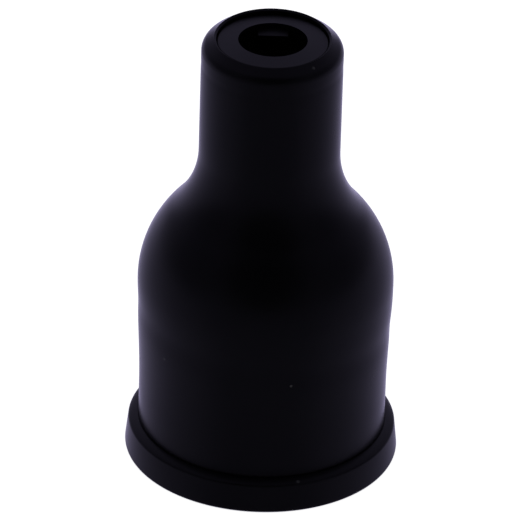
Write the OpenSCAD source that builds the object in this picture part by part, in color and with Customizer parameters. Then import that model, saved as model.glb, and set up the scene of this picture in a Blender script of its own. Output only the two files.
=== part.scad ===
// Bench dust blower for watch work: a rubber squeeze bulb that stands on a foot ring. A squeeze drives
// air up through the outlet valve and the nozzle bush in the neck. As the bulb springs back, it draws
// fresh air in through the inlet valve in its base. Both valves are the same small disc valve.
// Millimetres. The origin is the centre of the underside, and +Z is the axis of the bulb.

/* [Bulb] */
// Height from the bench to the crest of the lip round the mouth
bulb_h = 87.4; // [86:0.2:92]
// Largest radius of the bulb, where the wall meets the shoulder
belly_r = 23.95; // [23.6:0.05:24.5]
// Radius of the wall just above the foot ring
waist_r = 23.25; // [23.1:0.05:23.5]
// Height at which the shoulder starts to curve in
shoulder_z = 35.8; // [34:0.2:38]
// Radius of the shoulder's rounded arc
shoulder_arc_r = 22.1; // [21:0.1:23]
// Radius of the hollow arc between shoulder and neck
neck_arc_r = 19; // [17:0.5:21]
// Outer radius of the neck
neck_r = 13.15; // [13:0.05:13.4]
// Radius of the lip's rounded outer edge
lip_arc_r = 2.2; // [1.8:0.1:2.6]
// Distance from the neck's side in to the crest of the lip
lip_crest_in = 2.3; // [2.1:0.1:2.5]
// Thickness of the rubber wall
wall_t = 2.7; // [2.5:0.1:2.9]

/* [Foot ring] */
// Outer radius of the foot ring at its bottom edge
foot_r = 25.65; // [25.4:0.05:26.2]
// How much further out the foot ring's wall stands at its bottom than at its top
foot_flare = 0.5; // [0.2:0.1:0.7]
// Height of the foot ring's outer wall with its rounded edges
foot_wall_h = 5.9; // [5.6:0.1:6.1]
// Height of the sloping ledge above that wall
ledge_h = 0.6; // [0.5:0.1:0.9]
// Radius of the foot ring's rounded bottom edge
foot_edge_r = 0.7; // [0.5:0.1:1.3]

/* [Nozzle bush] */
// Radius of the bore that a nozzle is pressed into
nozzle_bore_r = 4.3; // [3.8:0.1:4.6]
// Radius of the counterbore that shows as the hole in the mouth
mouth_hole_r = 6.4; // [6.2:0.1:6.8]
// Depth of that counterbore
counterbore_h = 5; // [4.6:0.1:5.4]
// Width of each of the two stop lugs in the counterbore
lug_w = 5.6; // [5:0.2:6]
// Depth of the bush's rim below the crest of the lip
face_rim_drop = 1.35; // [1.25:0.05:1.6]
// Depth of the hole's edge below the crest of the lip
face_hole_drop = 0.65; // [0.5:0.05:0.8]
// Length of the whole bush
bush_h = 26; // [25.5:0.1:27]

/* [Valves] */
// Radius of a valve disc
disc_r = 4.6; // [4.2:0.1:4.8]
// Thickness of a valve disc
disc_t = 0.8; // [0.6:0.1:1]
// Travel of a valve disc from its seat to its stop
disc_lift = 1; // [0.8:0.1:1.4]

/* [Hidden] */
$fn = 96;
// gap left between pieces that are pushed together
fit_gap = 0.05;
// gap between the foot ring's wall and the pieces that it hides
cover_gap = 0.1;
// how far a cutter runs past the face that it opens
cut = 1;
// degrees between the points of a long arc, and of a small rounded edge
arc_step = 4;
edge_step = 15;

// where the shoulder's arc meets the hollow arc, as an angle about both centres
belly_centre = [belly_r - shoulder_arc_r, shoulder_z];
join_a = acos((neck_r + neck_arc_r - belly_centre[0]) / (shoulder_arc_r + neck_arc_r));
neck_centre = [neck_r + neck_arc_r, shoulder_z + (shoulder_arc_r + neck_arc_r) * sin(join_a)];

// where the wall starts to swell, and the number of straight steps in the swell
swell_z = 14;
swell_steps = 8;

// the lip: rounded outer edge, slope up to the crest, and a chamfer down into the mouth
mouth_r = neck_r - wall_t;
lip_a = 54;
chamfer_slope = 37;
lip_crest = [neck_r - lip_crest_in, bulb_h];
lip_centre_r = neck_r - lip_arc_r;
lip_rise = (lip_arc_r - (lip_crest[0] - lip_centre_r) * cos(lip_a)) / sin(lip_a);
lip_centre = [lip_centre_r, bulb_h - lip_rise];
mouth_edge_z = bulb_h - (lip_crest[0] - mouth_r) * tan(chamfer_slope);

// levels in the base, from the bench up
plate_z = 1.9;
plate_t = 1.4;
gasket_z = plate_z + plate_t;
gasket_t = 0.8;
bulb_z = gasket_z + gasket_t;
foot_h = foot_wall_h + ledge_h;
band_seat_drop = 0.15;
band_seat_top = foot_h - band_seat_drop;

// rings in the base, from the axis out
cuff_r = waist_r - wall_t - fit_gap;
cuff_t = 1.8;
cuff_h = 6;
ridge_z = 7;
ridge_h = 1.2;
ridge_out = 0.4;
band_t = 0.6;
band_h = 1.9;
band_lift = 0.2;
band_outer_r = waist_r - cover_gap;
band_inner_r = band_outer_r - band_t;
plate_r = waist_r - cover_gap;
foot_lip_w = 1.5;
foot_lip_r = waist_r + fit_gap - foot_lip_w;

// shared disc valve, measured from the underside of its seat
seat_plug_r = 6;
seat_r = 7.5;
seat_plug_h = plate_t;
seat_flange_t = 1.1;
seat_h = seat_plug_h + seat_flange_t;
seat_lip_h = 0.4;
seat_lip_t = 0.6;
port_count = 6;
port_r = 1;
port_ring_r = 2.3;
disc_side_gap = 0.6;
cage_bore_r = disc_r + disc_side_gap;
cage_roof_t = 1;
cage_slot_count = 4;
cage_slot_w = 3;
cage_hub_r = 3;
disc_z = seat_h + seat_lip_h;
stop_z = disc_z + disc_t + disc_lift;
cage_h = stop_z + cage_roof_t - seat_h;
vent_r = 1.2;

// levels in the neck
bush_top_z = bulb_h - face_hole_drop;
bush_z = bush_top_z - bush_h;
bush_r = mouth_r - fit_gap;
outlet_z = bush_z;
socket_r = seat_r + fit_gap;
plenum_z = outlet_z + stop_z + cage_roof_t;
plenum_h = 1.2;
plenum_margin = 0.8;
plenum_r = cage_bore_r + plenum_margin;
barb_count = 3;
barb_pitch = 4;
barb_start = 9;
barb_first_z = bush_z + barb_start;
barb_out = 0.4;
barb_h = 1.6;

rubber_colour = [0.06, 0.06, 0.07];
plastic_colour = [0.13, 0.13, 0.15];
disc_colour = [0.72, 0.3, 0.2];
steel_colour = [0.66, 0.67, 0.69];
brass_colour = [0.78, 0.6, 0.3];

function reversed(points) = [for (i = [len(points) - 1:-1:0]) points[i]];

function arc(centre, r, from, to, step = arc_step) =
    let (steps = ceil(abs(to - from) / step))
    [for (i = [0:steps]) let (a = from + (to - from) * i / steps) centre + r * [cos(a), sin(a)]];

// eases from 0 to 1 with no slope at either end
function eased(t) = t * t * (3 - 2 * t);

// the wall swells gently from the waist to the belly
function wall_swell(inset) =
    [for (i = [0:swell_steps - 1]) let (t = i / swell_steps)
        [waist_r + (belly_r - waist_r) * eased(t) - inset, swell_z + (shoulder_z - swell_z) * t]];

// from the start of the swell to the foot of the neck, set in from the outside by inset
function bulb_curve(inset) = concat(
    wall_swell(inset),
    arc(belly_centre, shoulder_arc_r - inset, 0, join_a),
    reversed(arc(neck_centre, neck_arc_r + inset, 180, 180 + join_a)));

// a saw-tooth ring that resists being pulled out, grown by gap to make its groove
module barb_2d(z, gap) {
    foot_z = z - 2 * gap;
    top_z = z + barb_h + 2 * gap;
    polygon([[bush_r - cut, foot_z], [bush_r + gap, foot_z], [bush_r + barb_out + gap, z + barb_h / 4],
        [bush_r + gap, top_z], [bush_r - cut, top_z]]);
}

module ring(inner_r, outer_r, z, h) {
    translate([0, 0, z])
        difference() {
            cylinder(r = outer_r, h = h);
            translate([0, 0, -cut])
                cylinder(r = inner_r, h = h + 2 * cut);
        }
}

// Bulb: one moulding with a thick wall, a shoulder, a neck and a ridged lip
module squeeze_bulb() {
    outside = concat(
        [[cuff_r + fit_gap, bulb_z], [band_inner_r - fit_gap, bulb_z],
            [band_inner_r - fit_gap, band_seat_top], [waist_r, band_seat_top]],
        bulb_curve(0),
        arc(lip_centre, lip_arc_r, 0, lip_a),
        [lip_crest]);
    inside = concat(bulb_curve(wall_t), [[mouth_r, mouth_edge_z]]);
    color(rubber_colour)
        rotate_extrude()
            difference() {
                polygon(concat(outside, reversed(inside)));
                translate([cuff_r - cut, ridge_z - fit_gap])
                    square([cut + ridge_out + 2 * fit_gap, ridge_h + 2 * fit_gap]);
                for (i = [0:barb_count - 1])
                    barb_2d(barb_first_z + i * barb_pitch, fit_gap);
            }
}

// Foot ring: a flared band that grips the foot of the bulb and hooks under the base plate. The
// ledge runs straight from its inner edge to where it touches the rounded top edge
module foot_ring() {
    top_edge_r = 0.6;
    ledge_top_w = 0.3;
    bottom_centre = [foot_r - foot_edge_r, foot_edge_r];
    top_centre = [foot_r - foot_flare - top_edge_r, foot_wall_h - top_edge_r];
    up_wall = top_centre - bottom_centre;
    wall_a = atan2(-up_wall[0], up_wall[1]) + asin((foot_edge_r - top_edge_r) / norm(up_wall));
    ledge_top = [waist_r + fit_gap + ledge_top_w, foot_h];
    to_ledge = ledge_top - top_centre;
    ledge_a = atan2(to_ledge[1], to_ledge[0]) - acos(top_edge_r / norm(to_ledge));
    outline = concat(
        [[foot_lip_r, 0]],
        arc(bottom_centre, foot_edge_r, -90, wall_a, edge_step),
        arc(top_centre, top_edge_r, wall_a, ledge_a, edge_step),
        [ledge_top, [waist_r + fit_gap, foot_h], [waist_r + fit_gap, plate_z], [foot_lip_r, plate_z]]);
    color(rubber_colour)
        rotate_extrude()
            polygon(outline);
}

// Base plate: closes the bulb, with a cuff that plugs its open end and a boss for the inlet valve
module base_plate() {
    boss_t = 1.45;
    boss_r = seat_r + fit_gap + boss_t;
    cage_grip = 1.2;
    boss_h = seat_flange_t + cage_grip;
    rib_h = seat_flange_t;
    rib_count = 6;
    rib_w = 1.2;
    rib_root = 0.5;
    color(plastic_colour)
        difference() {
            union() {
                translate([0, 0, plate_z])
                    cylinder(r = plate_r, h = plate_t);
                ring(cuff_r - cuff_t, cuff_r, plate_z, plate_t + cuff_h);
                ring(cuff_r - cuff_t, cuff_r + ridge_out, ridge_z, ridge_h);
                ring(seat_r + fit_gap, boss_r, plate_z, plate_t + boss_h);
                for (i = [0:rib_count - 1])
                    rotate([0, 0, i * 360 / rib_count])
                        translate([boss_r - rib_root, -rib_w / 2, plate_z])
                            cube([cuff_r - cuff_t - boss_r + 2 * rib_root, rib_w, plate_t + rib_h]);
            }
            translate([0, 0, plate_z - cut])
                cylinder(r = seat_plug_r + fit_gap, h = plate_t + 2 * cut);
        }
}

// Gasket: flat ring between the plate's rim and the bulb's cut end
module base_gasket() {
    color(disc_colour)
        ring(cuff_r + fit_gap, band_inner_r - fit_gap, gasket_z, gasket_t);
}

// Clamp band: steel hoop that squeezes the bulb's foot onto the cuff, hidden by the foot ring
module clamp_band() {
    color(steel_colour)
        ring(band_inner_r, band_outer_r, bulb_z + band_lift, band_h);
}

// Valve seat: turned plug with a ring of ports and a raised lip that the disc rests on
module valve_seat(z) {
    color(brass_colour)
        translate([0, 0, z])
            difference() {
                union() {
                    cylinder(r = seat_plug_r, h = seat_plug_h);
                    translate([0, 0, seat_plug_h])
                        cylinder(r = seat_r, h = seat_flange_t);
                    ring(disc_r - seat_lip_t, disc_r, seat_h, seat_lip_h);
                }
                for (i = [0:port_count - 1])
                    rotate([0, 0, i * 360 / port_count])
                        translate([port_ring_r, 0, -cut])
                            cylinder(r = port_r, h = seat_h + 2 * cut);
            }
}

// Valve disc: flat rubber disc that lifts off the seat when air pushes from below
module valve_disc(z) {
    color(disc_colour)
        translate([0, 0, z + disc_z])
            cylinder(r = disc_r, h = disc_t);
}

// Valve cage: cap that guides the disc and stops its lift. Air passes the disc's edge and leaves
// through slots in the roof
module valve_cage(z) {
    color(plastic_colour)
        translate([0, 0, z + seat_h])
            difference() {
                cylinder(r = seat_r, h = cage_h);
                translate([0, 0, -cut])
                    cylinder(r = cage_bore_r, h = cage_h - cage_roof_t + cut);
                cylinder(r = vent_r, h = cage_h + cut);
                for (i = [0:cage_slot_count - 1])
                    rotate([0, 0, i * 360 / cage_slot_count])
                        translate([cage_hub_r, -cage_slot_w / 2, cage_h - cage_roof_t - cut])
                            cube([cage_bore_r - cage_hub_r, cage_slot_w, cage_roof_t + 2 * cut]);
            }
}

// Nozzle bush: barbed plug in the neck, with a slightly coned face, the nozzle's bore and the valve's
// socket. A nozzle's collar sits in the counterbore, on two opposite lugs that slope down inwards
module nozzle_bush() {
    face_edge_r = 0.4;
    face_a = 85;
    lug_slope = 12;
    lug_root = 0.5;
    lug_out = mouth_hole_r + lug_root;
    lug_top_z = bush_top_z - 1.55;
    lug_foot_z = lug_top_z - 1.2;
    lug_side = [[nozzle_bore_r, lug_foot_z], [lug_out, lug_foot_z],
        [lug_out, lug_top_z + (lug_out - nozzle_bore_r) * tan(lug_slope)], [nozzle_bore_r, lug_top_z]];
    face = arc([bush_r - face_edge_r, bulb_h - face_rim_drop], face_edge_r, 0, face_a, edge_step);
    color(plastic_colour) {
        difference() {
            rotate_extrude() {
                polygon(concat([[0, bush_z], [bush_r, bush_z]], face,
                    [[mouth_hole_r, bush_top_z], [0, bush_top_z]]));
                for (i = [0:barb_count - 1])
                    barb_2d(barb_first_z + i * barb_pitch, 0);
            }
            translate([0, 0, bush_z - cut])
                cylinder(r = nozzle_bore_r, h = bush_h + 2 * cut);
            translate([0, 0, bush_top_z - counterbore_h])
                cylinder(r = mouth_hole_r, h = counterbore_h + cut);
            translate([0, 0, bush_z - cut])
                cylinder(r = plenum_r, h = plenum_z + plenum_h - bush_z + cut);
            translate([0, 0, bush_z - cut])
                cylinder(r = socket_r, h = plenum_z - bush_z + cut);
        }
        for (side = [0, 180])
            rotate([90, 0, 90 + side])
                linear_extrude(lug_w, center = true)
                    polygon(lug_side);
    }
}

squeeze_bulb();
foot_ring();
base_plate();
base_gasket();
clamp_band();
valve_seat(plate_z);  // inlet_valve_seat
valve_disc(plate_z);  // inlet_valve_disc
valve_cage(plate_z);  // inlet_valve_cage
nozzle_bush();
valve_seat(outlet_z);  // outlet_valve_seat
valve_disc(outlet_z);  // outlet_valve_disc
valve_cage(outlet_z);  // outlet_valve_cage
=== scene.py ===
import math

import bmesh
import bpy
from mathutils import Matrix, Vector


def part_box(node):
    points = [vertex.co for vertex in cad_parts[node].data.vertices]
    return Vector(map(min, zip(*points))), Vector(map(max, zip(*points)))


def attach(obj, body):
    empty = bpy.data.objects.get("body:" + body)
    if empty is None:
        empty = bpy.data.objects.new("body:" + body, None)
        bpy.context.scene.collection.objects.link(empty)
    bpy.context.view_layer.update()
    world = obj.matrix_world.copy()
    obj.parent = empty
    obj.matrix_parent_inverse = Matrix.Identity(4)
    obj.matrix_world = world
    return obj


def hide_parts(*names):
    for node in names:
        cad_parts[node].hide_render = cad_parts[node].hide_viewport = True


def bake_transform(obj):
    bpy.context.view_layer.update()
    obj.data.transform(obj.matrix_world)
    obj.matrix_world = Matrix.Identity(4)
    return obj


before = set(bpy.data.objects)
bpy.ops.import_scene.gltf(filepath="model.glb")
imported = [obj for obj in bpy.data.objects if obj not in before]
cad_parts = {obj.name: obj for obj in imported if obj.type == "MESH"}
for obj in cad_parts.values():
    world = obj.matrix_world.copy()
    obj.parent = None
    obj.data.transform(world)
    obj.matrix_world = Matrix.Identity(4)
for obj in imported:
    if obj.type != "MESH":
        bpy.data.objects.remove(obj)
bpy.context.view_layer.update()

# Everything is in metres, in the part's own frame: origin at the centre of the underside, +Z up the axis.
MM = 0.001

# ---------------------------------------------------------------- sizes


def radius_of(node):
    """Half the width of a CAD node."""
    low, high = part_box(node)
    return (high.x - low.x) / 2


bulb_foot_z, bulb_top_z = (corner.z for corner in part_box("squeeze_bulb"))
belly_r = radius_of("squeeze_bulb")
foot_r = radius_of("foot_ring")
foot_top_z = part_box("foot_ring")[1].z
plate_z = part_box("base_plate")[0].z
gasket_outer_r = radius_of("base_gasket")

FIT_GAP = 0.05 * MM          # between pieces that are pushed together
WALL_T = 2.7 * MM            # thickness of the rubber wall
PLATE_INSET = 0.1 * MM       # how much smaller the base plate is than the bulb's waist, in radius
waist_r = radius_of("base_plate") + PLATE_INSET

# ---------------------------------------------------------------- mesh helpers

SEGMENTS = 256               # round each turned piece
ARC_STEP = 3.0               # degrees between the points of a large arc
EDGE_STEP = 9.0              # degrees between the points of a small rounded edge
SHARP_ANGLE = 40             # degrees between two faces, from which their edge is shaded crisp
MERGE_DISTANCE = 1e-7        # two points closer than this are one


def arc(centre, radius, start, end, step=ARC_STEP):
    """Points along an arc, angles in degrees from the radial direction."""
    steps = max(2, math.ceil(abs(end - start) / step))
    angles = [math.radians(start + (end - start) * i / steps) for i in range(steps + 1)]
    return [(centre[0] + radius * math.cos(a), centre[1] + radius * math.sin(a)) for a in angles]


def resampled(outline, spacing):
    """The same closed outline with no gap between points longer than spacing."""
    points = []
    for (r0, z0), (r1, z1) in zip(outline, outline[1:] + outline[:1]):
        steps = max(1, math.ceil(math.hypot(r1 - r0, z1 - z0) / spacing))
        points += [(r0 + (r1 - r0) * i / steps, z0 + (z1 - z0) * i / steps) for i in range(steps)]
    return points


def finished_mesh(name, bm):
    """A smooth-shaded object from a bmesh, with crisp edges kept where faces meet sharply."""
    bmesh.ops.remove_doubles(bm, verts=bm.verts, dist=MERGE_DISTANCE)
    bmesh.ops.recalc_face_normals(bm, faces=bm.faces)
    mesh = bpy.data.meshes.new(name)
    bm.to_mesh(mesh)
    bm.free()
    mesh.shade_smooth()
    mesh.set_sharp_from_angle(angle=math.radians(SHARP_ANGLE))
    piece = bpy.data.objects.new(name, mesh)
    bpy.context.scene.collection.objects.link(piece)
    return piece


def turned(name, outline, shape=None):
    """A closed ring of revolution about Z. shape(r, z, angle) may nudge a point and returns (r, z)."""
    bm = bmesh.new()
    rings = []
    for k in range(SEGMENTS):
        angle = 2 * math.pi * k / SEGMENTS
        ring = []
        for r, z in outline:
            if shape:
                r, z = shape(r, z, angle)
            ring.append(bm.verts.new((r * math.cos(angle), r * math.sin(angle), z)))
        rings.append(ring)
    count = len(outline)
    for k in range(SEGMENTS):
        here, there = rings[k], rings[(k + 1) % SEGMENTS]
        for i in range(count):
            j = (i + 1) % count
            bm.faces.new((here[i], there[i], there[j], here[j]))
    return finished_mesh(name, bm)


# ---------------------------------------------------------------- shader helpers


def material(name):
    """A new material, with its node tree and its surface shader."""
    made = bpy.data.materials.new(name)
    made.use_nodes = True
    return made, made.node_tree, made.node_tree.nodes["Principled BSDF"]


def noise(tree, scale, detail=4.0):
    """A noise texture in object space. scale is features per metre."""
    coords = tree.nodes.new("ShaderNodeTexCoord")
    texture = tree.nodes.new("ShaderNodeTexNoise")
    texture.inputs["Scale"].default_value = scale
    texture.inputs["Detail"].default_value = detail
    tree.links.new(coords.outputs["Object"], texture.inputs["Vector"])
    return texture.outputs["Fac"]


def distance_from(tree, azimuth, radius, z):
    """Distance from the point at an azimuth in degrees, a radius from the axis and a height."""
    coords = tree.nodes.new("ShaderNodeTexCoord")
    distance = tree.nodes.new("ShaderNodeVectorMath")
    distance.operation = "DISTANCE"
    turn = math.radians(azimuth)
    distance.inputs[1].default_value = (radius * math.cos(turn), radius * math.sin(turn), z)
    tree.links.new(coords.outputs["Object"], distance.inputs[0])
    return distance.outputs["Value"]


def remap(tree, value, low, high, to_low, to_high):
    """A value moved from one range to another, and held inside it."""
    node = tree.nodes.new("ShaderNodeMapRange")
    node.inputs["From Min"].default_value = low
    node.inputs["From Max"].default_value = high
    node.inputs["To Min"].default_value = to_low
    node.inputs["To Max"].default_value = to_high
    tree.links.new(value, node.inputs["Value"])
    return node.outputs["Result"]


def calculate(tree, operation, a, b=None):
    """The result of a sum on one or two values. Each is a number or a socket."""
    node = tree.nodes.new("ShaderNodeMath")
    node.operation = operation
    for socket, value in zip(node.inputs, (a, b)):
        if value is None:
            continue
        if isinstance(value, (int, float)):
            socket.default_value = value
        else:
            tree.links.new(value, socket)
    return node.outputs["Value"]


def mixed_colour(tree, amount, first, second):
    """From the first colour at 0 to the second at 1. Each is an (r, g, b) tuple or a socket."""
    node = tree.nodes.new("ShaderNodeMix")
    node.data_type = "RGBA"
    tree.links.new(amount, node.inputs["Factor"])
    for socket, value in ((node.inputs["A"], first), (node.inputs["B"], second)):
        if isinstance(value, tuple):
            socket.default_value = (*value, 1.0)
        else:
            tree.links.new(value, socket)
    return node.outputs["Result"]


def grey_ramp(tree, value, stops):
    """Grey levels along a value from 0 to 1. stops are (value, level) pairs."""
    node = tree.nodes.new("ShaderNodeValToRGB")
    node.color_ramp.interpolation = "LINEAR"
    elements = node.color_ramp.elements
    while len(elements) < len(stops):
        elements.new(0.5)
    for element, (at, level) in zip(elements, stops):
        element.position = at
        element.color = (level, level, level, 1)
    tree.links.new(value, node.inputs["Fac"])
    return node.outputs["Color"]


def bump(tree, shader, height, distance):
    """Fine relief. distance is the depth in metres that a height of 1 stands for."""
    node = tree.nodes.new("ShaderNodeBump")
    node.inputs["Distance"].default_value = distance
    tree.links.new(height, node.inputs["Height"])
    tree.links.new(node.outputs["Normal"], shader.inputs["Normal"])


# ---------------------------------------------------------------- materials

CLOUDY_LOW, CLOUDY_HIGH = 0.3, 0.7     # the range that a noise texture mostly keeps to
GRAIN_DEPTH = 0.004 * MM               # of the moulded surfaces
VALVE_GRAIN_DEPTH = 0.006 * MM
MACHINING_DEPTH = 0.002 * MM
SCUFF_DEPTH = 0.012 * MM
SCUFF_HALF = 0.12 * MM                 # half the width of a scuff's line
SCUFF_PATCHES = 120                    # per metre, the patches that break up its line
PATCH_LOW, PATCH_HIGH = 0.5, 0.62      # noise values between which the line fades in
FLECK_CORE = 0.6                       # share of a fleck's size over which it is solid
SHEEN_SPREAD = 0.03                    # of the rubber's roughness, up and down
DUST = (0.03, 0.03, 0.033)


def uneven_sheen(tree, shader, cloudy, low, high):
    """Roughness that drifts between two values over the surface."""
    tree.links.new(remap(tree, cloudy, CLOUDY_LOW, CLOUDY_HIGH, low, high), shader.inputs["Roughness"])


def fleck(tree, azimuth, radius, z, size):
    """1 inside a small spot on the surface, 0 outside it."""
    return remap(tree, distance_from(tree, azimuth, radius, z), FLECK_CORE * size, size, 1, 0)


def scuff(tree, azimuth, z, radius):
    """1 along a thin broken circle round a point on the bulb's wall, 0 off it."""
    distance = distance_from(tree, azimuth, belly_r, z)
    off_line = calculate(tree, "ABSOLUTE", calculate(tree, "SUBTRACT", distance, radius))
    line = remap(tree, off_line, 0, SCUFF_HALF, 1, 0)
    patchy = remap(tree, noise(tree, SCUFF_PATCHES, detail=2), PATCH_LOW, PATCH_HIGH, 0, 1)
    return calculate(tree, "MULTIPLY", line, patchy)


def moulded_rubber(name, roughness, flecks, scuffs=()):
    """Black satin rubber: fine moulded grain, uneven sheen, a few flecks of pale dust, and scuffs."""
    made, tree, shader = material(name)
    cloudy = noise(tree, 60, detail=3)
    colour = mixed_colour(tree, cloudy, (0.0007, 0.0007, 0.0009), (0.0012, 0.0012, 0.0016))
    for spot in flecks:
        colour = mixed_colour(tree, fleck(tree, *spot), colour, DUST)
    tree.links.new(colour, shader.inputs["Base Color"])
    uneven_sheen(tree, shader, cloudy, roughness - SHEEN_SPREAD, roughness + SHEEN_SPREAD)
    height = calculate(tree, "MULTIPLY", noise(tree, 2600, detail=3), GRAIN_DEPTH)
    for mark in scuffs:
        cut = calculate(tree, "MULTIPLY", scuff(tree, *mark), SCUFF_DEPTH)
        height = calculate(tree, "SUBTRACT", height, cut)
    bump(tree, shader, height, 1.0)
    return made


def moulded_plastic(name):
    """Black plastic with a fine moulded grain."""
    made, tree, shader = material(name)
    cloudy = noise(tree, 80, detail=3)
    colour = mixed_colour(tree, cloudy, (0.0012, 0.0012, 0.0014), (0.002, 0.002, 0.0024))
    tree.links.new(colour, shader.inputs["Base Color"])
    uneven_sheen(tree, shader, cloudy, 0.34, 0.42)
    bump(tree, shader, noise(tree, 4000, detail=2), GRAIN_DEPTH)
    return made


def valve_rubber(name):
    """Matt brick-red rubber."""
    made, tree, shader = material(name)
    cloudy = noise(tree, 150)
    colour = mixed_colour(tree, cloudy, (0.32, 0.07, 0.035), (0.42, 0.10, 0.05))
    tree.links.new(colour, shader.inputs["Base Color"])
    uneven_sheen(tree, shader, cloudy, 0.5, 0.62)
    bump(tree, shader, noise(tree, 3000), VALVE_GRAIN_DEPTH)
    return made


def metal(name, dark, light, ring_scale):
    """Bare metal with fine machining marks round the axis."""
    made, tree, shader = material(name)
    shader.inputs["Metallic"].default_value = 1.0
    coords = tree.nodes.new("ShaderNodeTexCoord")
    rings = tree.nodes.new("ShaderNodeTexWave")
    rings.wave_type = "RINGS"
    rings.rings_direction = "Z"
    rings.inputs["Scale"].default_value = ring_scale
    rings.inputs["Distortion"].default_value = 0.4
    tree.links.new(coords.outputs["Object"], rings.inputs["Vector"])
    cloudy = noise(tree, 300)
    tree.links.new(mixed_colour(tree, cloudy, dark, light), shader.inputs["Base Color"])
    uneven_sheen(tree, shader, cloudy, 0.24, 0.38)
    bump(tree, shader, rings.outputs["Fac"], MACHINING_DEPTH)
    return made


# azimuth in degrees, radius, height and size of each fleck
BULB_FLECKS = ((-77, 23.55 * MM, 26.4 * MM, 0.3 * MM), (-141, 23.55 * MM, 26.5 * MM, 0.35 * MM),
               (-50, 11.9 * MM, 86.2 * MM, 0.4 * MM))
FOOT_FLECKS = ((-73, 24.6 * MM, 6.0 * MM, 0.4 * MM),)
# azimuth in degrees, height and radius of the circle that each scuff follows
BULB_SCUFFS = ((-32, 17 * MM, 7 * MM), (-24, 13 * MM, 5.5 * MM), (-38, 24 * MM, 9 * MM))

bulb_rubber = moulded_rubber("bulb_rubber", 0.30, BULB_FLECKS, BULB_SCUFFS)
foot_rubber = moulded_rubber("foot_rubber", 0.34, FOOT_FLECKS)
black_plastic = moulded_plastic("black_plastic")
red_rubber = valve_rubber("valve_rubber")
brass = metal("valve_brass", (0.62, 0.42, 0.17), (0.75, 0.53, 0.25), 2200)
steel = metal("band_steel", (0.50, 0.50, 0.52), (0.62, 0.62, 0.64), 1500)

# ---------------------------------------------------------------- bulb

SHOULDER_ARC_R = 22.1 * MM
NECK_ARC_R = 19 * MM
NECK_R = 13.15 * MM
LIP_ARC_R = 2.2 * MM
LIP_CREST_IN = 2.3 * MM      # from the neck's side in to the crest of the lip
LIP_ARC_END = 54             # degrees, where the rounded edge turns into the slope up to the crest
CHAMFER_SLOPE = 37           # degrees, from the crest down into the mouth
SHOULDER_Z = 35.8 * MM
SWELL_Z = 14 * MM            # where the wall starts to swell from the waist to the belly
SWELL_STEPS = 24
SEAT_DROP = 0.15 * MM        # from the foot ring's top down to the step above the clamp band's seat
SPACING = 0.6 * MM           # between the bulb's rings

shoulder_centre = (belly_r - SHOULDER_ARC_R, SHOULDER_Z)
join = math.degrees(math.acos((NECK_R + NECK_ARC_R - shoulder_centre[0]) / (SHOULDER_ARC_R + NECK_ARC_R)))
neck_centre = (NECK_R + NECK_ARC_R,
               SHOULDER_Z + (SHOULDER_ARC_R + NECK_ARC_R) * math.sin(math.radians(join)))
mouth_r = NECK_R - WALL_T
crest_r = NECK_R - LIP_CREST_IN
mouth_edge_z = bulb_top_z - (crest_r - mouth_r) * math.tan(math.radians(CHAMFER_SLOPE))
lip_rise = ((LIP_ARC_R - (crest_r - NECK_R + LIP_ARC_R) * math.cos(math.radians(LIP_ARC_END)))
            / math.sin(math.radians(LIP_ARC_END)))
lip_centre = (NECK_R - LIP_ARC_R, bulb_top_z - lip_rise)


def eased(t):
    """0 to 1 as t goes from 0 to 1, level at both ends."""
    return t * t * (3 - 2 * t)


def wall_curve(inset):
    """The wall from the swell to the neck, set in by inset from its outside."""
    swell = []
    for i in range(SWELL_STEPS):
        t = i / SWELL_STEPS
        r = waist_r + (belly_r - waist_r) * eased(t) - inset
        swell.append((r, SWELL_Z + (SHOULDER_Z - SWELL_Z) * t))
    return (swell
            + arc(shoulder_centre, SHOULDER_ARC_R - inset, 0, join)
            + arc(neck_centre, NECK_ARC_R + inset, 180 + join, 180))


def bulb_outline():
    """The cut face of the bulb's wall: up its outside from the foot, and down its inside."""
    step_z = foot_top_z - SEAT_DROP
    foot = [(gasket_outer_r, bulb_foot_z), (gasket_outer_r, step_z), (waist_r, step_z)]
    lip = arc(lip_centre, LIP_ARC_R, 0, LIP_ARC_END) + [(crest_r, bulb_top_z)]
    inner = [(mouth_r, mouth_edge_z)] + wall_curve(WALL_T)[::-1]
    return foot + wall_curve(0) + lip + inner + [(waist_r - WALL_T, bulb_foot_z)]


CREASE_Z = 29.3 * MM         # mean height of the soft crease that use has left in the wall
CREASE_TILT = 2 * MM         # it runs this much higher on the -X side, and lower on the +X side
CREASE_HALF = 2.8 * MM
CREASE_DEPTH = 0.13 * MM
GROOVE_Z = 82 * MM           # shallow groove between the neck and its lip
GROOVE_HALF = 0.7 * MM
GROOVE_DEPTH = 0.04 * MM
LIP_FALL = 0.7 * MM          # how much lower the lip is in front than at the back
LIP_FALL_START_Z = 80 * MM
LIP_FALL_END_Z = 84 * MM


def dip(distance, half):
    """1 in the middle of a soft dip, and close to 0 beyond twice its half width."""
    return math.exp(-(distance / half) ** 2)


def worn(r, z, angle):
    """The soft crease, the shallow groove and the uneven height of the lip."""
    if r > waist_r and z > SWELL_Z:
        r -= CREASE_DEPTH * dip(z - CREASE_Z + CREASE_TILT * math.cos(angle), CREASE_HALF)
    if r > crest_r:
        r -= GROOVE_DEPTH * dip(z - GROOVE_Z, GROOVE_HALF)
    if z > LIP_FALL_START_Z:
        reach = min(1, (z - LIP_FALL_START_Z) / (LIP_FALL_END_Z - LIP_FALL_START_Z))
        z -= eased(reach) * LIP_FALL * (1 - math.sin(angle)) / 2
    return r, z


bulb = turned("bulb", resampled(bulb_outline(), SPACING), worn)
bulb.data.materials.append(bulb_rubber)
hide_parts("squeeze_bulb")
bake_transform(bulb)

# ---------------------------------------------------------------- foot ring

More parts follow.
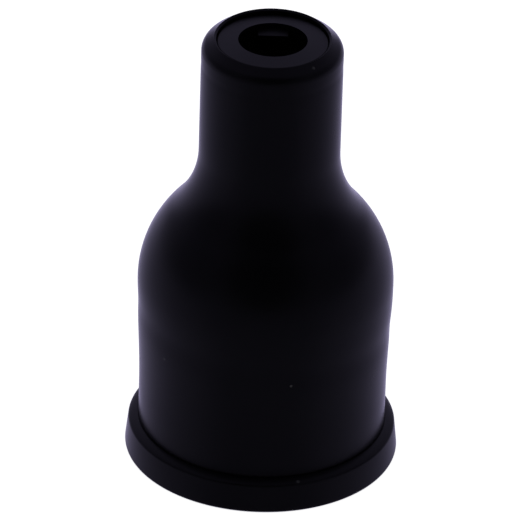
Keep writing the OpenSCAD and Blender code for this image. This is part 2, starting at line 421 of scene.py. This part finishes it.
TOP_EDGE_R = 0.6 * MM        # rounding between the wall and the ledge
FOOT_EDGE_R = 0.7 * MM       # rounding between the wall and the underside
FOOT_WALL_H = 5.9 * MM
FOOT_FLARE = 0.5 * MM        # how much further out the wall stands at its bottom than at its top
FOOT_HOOK_W = 1.5 * MM       # how far the ring hooks in under the base plate
LEDGE_TOP_W = 0.3 * MM       # level strip beside the bulb, at the top of the sloping ledge


def foot_ring_outline():
    """Flared wall between two rounded edges, then a ledge that slopes up to the bulb."""
    inner_r = waist_r + FIT_GAP
    hook_r = inner_r - FOOT_HOOK_W
    bottom_centre = Vector((foot_r - FOOT_EDGE_R, FOOT_EDGE_R))
    top_centre = Vector((foot_r - FOOT_FLARE - TOP_EDGE_R, FOOT_WALL_H - TOP_EDGE_R))
    up_wall = top_centre - bottom_centre
    wall_a = math.degrees(math.atan2(-up_wall.x, up_wall.y)
                          + math.asin((FOOT_EDGE_R - TOP_EDGE_R) / up_wall.length))
    ledge_top = Vector((inner_r + LEDGE_TOP_W, foot_top_z))
    to_ledge = ledge_top - top_centre
    ledge_a = math.degrees(math.atan2(to_ledge.y, to_ledge.x) - math.acos(TOP_EDGE_R / to_ledge.length))
    bottom = arc(bottom_centre, FOOT_EDGE_R, -90, wall_a, EDGE_STEP)
    edge = arc(top_centre, TOP_EDGE_R, wall_a, ledge_a, EDGE_STEP)
    inside = [(inner_r, foot_top_z), (inner_r, plate_z), (hook_r, plate_z)]
    return [(hook_r, 0)] + bottom + edge + [ledge_top.to_tuple()] + inside


foot_ring = turned("foot_band", foot_ring_outline())
foot_ring.data.materials.append(foot_rubber)
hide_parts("foot_ring")
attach(foot_ring, "base")

# ---------------------------------------------------------------- carried-over pieces

NODE_MATERIALS = {
    "nozzle_bush": black_plastic,
    "base_plate": black_plastic,
    "inlet_valve_cage": black_plastic,
    "outlet_valve_cage": black_plastic,
    "base_gasket": red_rubber,
    "inlet_valve_disc": red_rubber,
    "outlet_valve_disc": red_rubber,
    "inlet_valve_seat": brass,
    "outlet_valve_seat": brass,
    "clamp_band": steel,
}
for name, look in NODE_MATERIALS.items():
    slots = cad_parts[name].data.materials
    if not len(slots):
        slots.append(look)
    for i in range(len(slots)):
        slots[i] = look

# ---------------------------------------------------------------- floor and lamp

FLOOR_SIZE = 6.0
FLOOR_CELLS = 8
FLOOR_DROP = 0.02 * MM       # below the foot, so that the two faces never lie in one plane
FLOOR_GLOW = 0.95            # its own light keeps the floor white wherever the studio is dim
LAMP_HEIGHT = 1.6
LAMP_SIZE = 2.4
LAMP_POWER = 6.0


def floor():
    """A pale floor that the object doesn't mirror."""
    bm = bmesh.new()
    bmesh.ops.create_grid(bm, x_segments=FLOOR_CELLS, y_segments=FLOOR_CELLS, size=FLOOR_SIZE / 2)
    plane = finished_mesh("floor", bm)
    made, _, shader = material("pale_floor")
    shader.inputs["Base Color"].default_value = (0.86, 0.86, 0.87, 1)
    shader.inputs["Roughness"].default_value = 0.9
    shader.inputs["Specular IOR Level"].default_value = 0.0
    shader.inputs["Emission Color"].default_value = (1, 1, 1, 1)
    shader.inputs["Emission Strength"].default_value = FLOOR_GLOW
    plane.data.materials.append(made)
    plane.location.z = -FLOOR_DROP
    plane.visible_glossy = False


def overhead_softbox():
    """A weak wide lamp straight above, pointing down, which the object doesn't mirror."""
    data = bpy.data.lights.new("overhead_softbox", "AREA")
    data.shape = "DISK"
    data.size = LAMP_SIZE
    data.energy = LAMP_POWER
    lamp = bpy.data.objects.new("overhead_softbox", data)
    lamp.location.z = LAMP_HEIGHT
    lamp.visible_camera = False
    lamp.visible_glossy = False
    bpy.context.scene.collection.objects.link(lamp)


floor()
overhead_softbox()

# ---------------------------------------------------------------- surroundings

# (place, level) of the light below the horizon, from straight in front of the object, 0, to behind it, 1
BELOW_STOPS = ((0, 0.047), (0.1, 0.05), (0.226, 0.078), (0.5, 0.118), (0.75, 0.19), (0.85, 0.26),
               (0.955, 0.43), (1, 1.0))
# the same above the horizon, from the darkest direction, 0, to the opposite one, 1
ABOVE_STOPS = ((0, 0.006), (0.05, 0.007), (0.085, 0.03), (0.15, 0.06), (0.375, 0.085), (0.7, 0.165), (1, 0.2))
DARKEST = Vector((0, -0.83, 0.55)).normalized()      # towards the darkest part, in front and above
SIDE_FALL = 0.6              # how much darker it is above the horizon, straight to the sides
HORIZON_HALF = 0.06          # half the height of the soft change at the horizon
STUDIO_TINT = (0.96, 0.88, 1.38, 1)
SMALLEST_FLAT = 0.001        # keeps the division sound straight up and straight down


def studio_world():
    """Soft surroundings: bright behind the object, dimmer at its sides, and dark in front of it."""
    world = bpy.data.worlds.new("studio")
    bpy.context.scene.world = world
    world.use_nodes = True
    tree = world.node_tree
    coords = tree.nodes.new("ShaderNodeTexCoord")
    split = tree.nodes.new("ShaderNodeSeparateXYZ")
    tree.links.new(coords.outputs["Generated"], split.inputs["Vector"])
    x, y, z = (split.outputs[axis] for axis in "XYZ")
    x_squared = calculate(tree, "MULTIPLY", x, x)
    y_squared = calculate(tree, "MULTIPLY", y, y)
    flat = calculate(tree, "SQRT", calculate(tree, "ADD", x_squared, y_squared))
    facing = calculate(tree, "DIVIDE", y, calculate(tree, "MAXIMUM", flat, SMALLEST_FLAT))
    below = grey_ramp(tree, remap(tree, facing, -1, 1, 0, 1), BELOW_STOPS)

    towards_darkest = tree.nodes.new("ShaderNodeVectorMath")
    towards_darkest.operation = "DOT_PRODUCT"
    towards_darkest.inputs[1].default_value = DARKEST
    tree.links.new(coords.outputs["Generated"], towards_darkest.inputs[0])
    above = grey_ramp(tree, remap(tree, towards_darkest.outputs["Value"], 1, -1, 0, 1), ABOVE_STOPS)
    side_share = calculate(tree, "SUBTRACT", 1, calculate(tree, "MULTIPLY", SIDE_FALL, x_squared))
    above = mixed_colour(tree, side_share, (0.0, 0.0, 0.0), above)

    upper_share = remap(tree, z, -HORIZON_HALF, HORIZON_HALF, 0, 1)
    tint = tree.nodes.new("ShaderNodeMix")
    tint.data_type = "RGBA"
    tint.blend_type = "MULTIPLY"
    tint.inputs["Factor"].default_value = 1
    tint.inputs["B"].default_value = STUDIO_TINT
    tree.links.new(mixed_colour(tree, upper_share, below, above), tint.inputs["A"])
    path = tree.nodes.new("ShaderNodeLightPath")
    seen = mixed_colour(tree, path.outputs["Is Camera Ray"], tint.outputs["Result"], (1.0, 1.0, 1.0))
    tree.links.new(seen, tree.nodes["Background"].inputs["Color"])


studio_world()
bpy.context.scene.view_settings.view_transform = "Standard"

# ---------------------------------------------------------------- camera

ELEVATION = math.radians(30.42)
ROLL = math.radians(1.75)
DISTANCE = 1.5
LENS = 556.8                 # in millimetres, like the sensor's width
SENSOR_WIDTH = 36
NEAREST, FURTHEST = 0.1, 20  # what the camera can see
AIM_Z = 43 * MM              # height on the axis that the camera points near
AIM_LEFT = 1.23 * MM         # how far to the left of that point the middle of the picture is
AIM_DOWN = 2.76 * MM         # and how far below it


def camera():
    """A long lens in front and above, rolled a little, because the object leans in the photo."""
    look = Vector((0, math.cos(ELEVATION), -math.sin(ELEVATION)))
    level_right = Vector((1, 0, 0))
    level_up = level_right.cross(look)
    right = level_right * math.cos(ROLL) + level_up * math.sin(ROLL)
    up = level_up * math.cos(ROLL) - level_right * math.sin(ROLL)
    target = Vector((0, 0, AIM_Z)) - right * AIM_LEFT - up * AIM_DOWN
    data = bpy.data.cameras.new("camera")
    data.sensor_width = SENSOR_WIDTH
    data.lens = LENS
    data.clip_start = NEAREST
    data.clip_end = FURTHEST
    made = bpy.data.objects.new("camera", data)
    bpy.context.scene.collection.objects.link(made)
    basis = Matrix((right, up, -look)).transposed().to_4x4()
    made.matrix_world = Matrix.Translation(target - look * DISTANCE) @ basis
    bpy.context.scene.camera = made


camera()
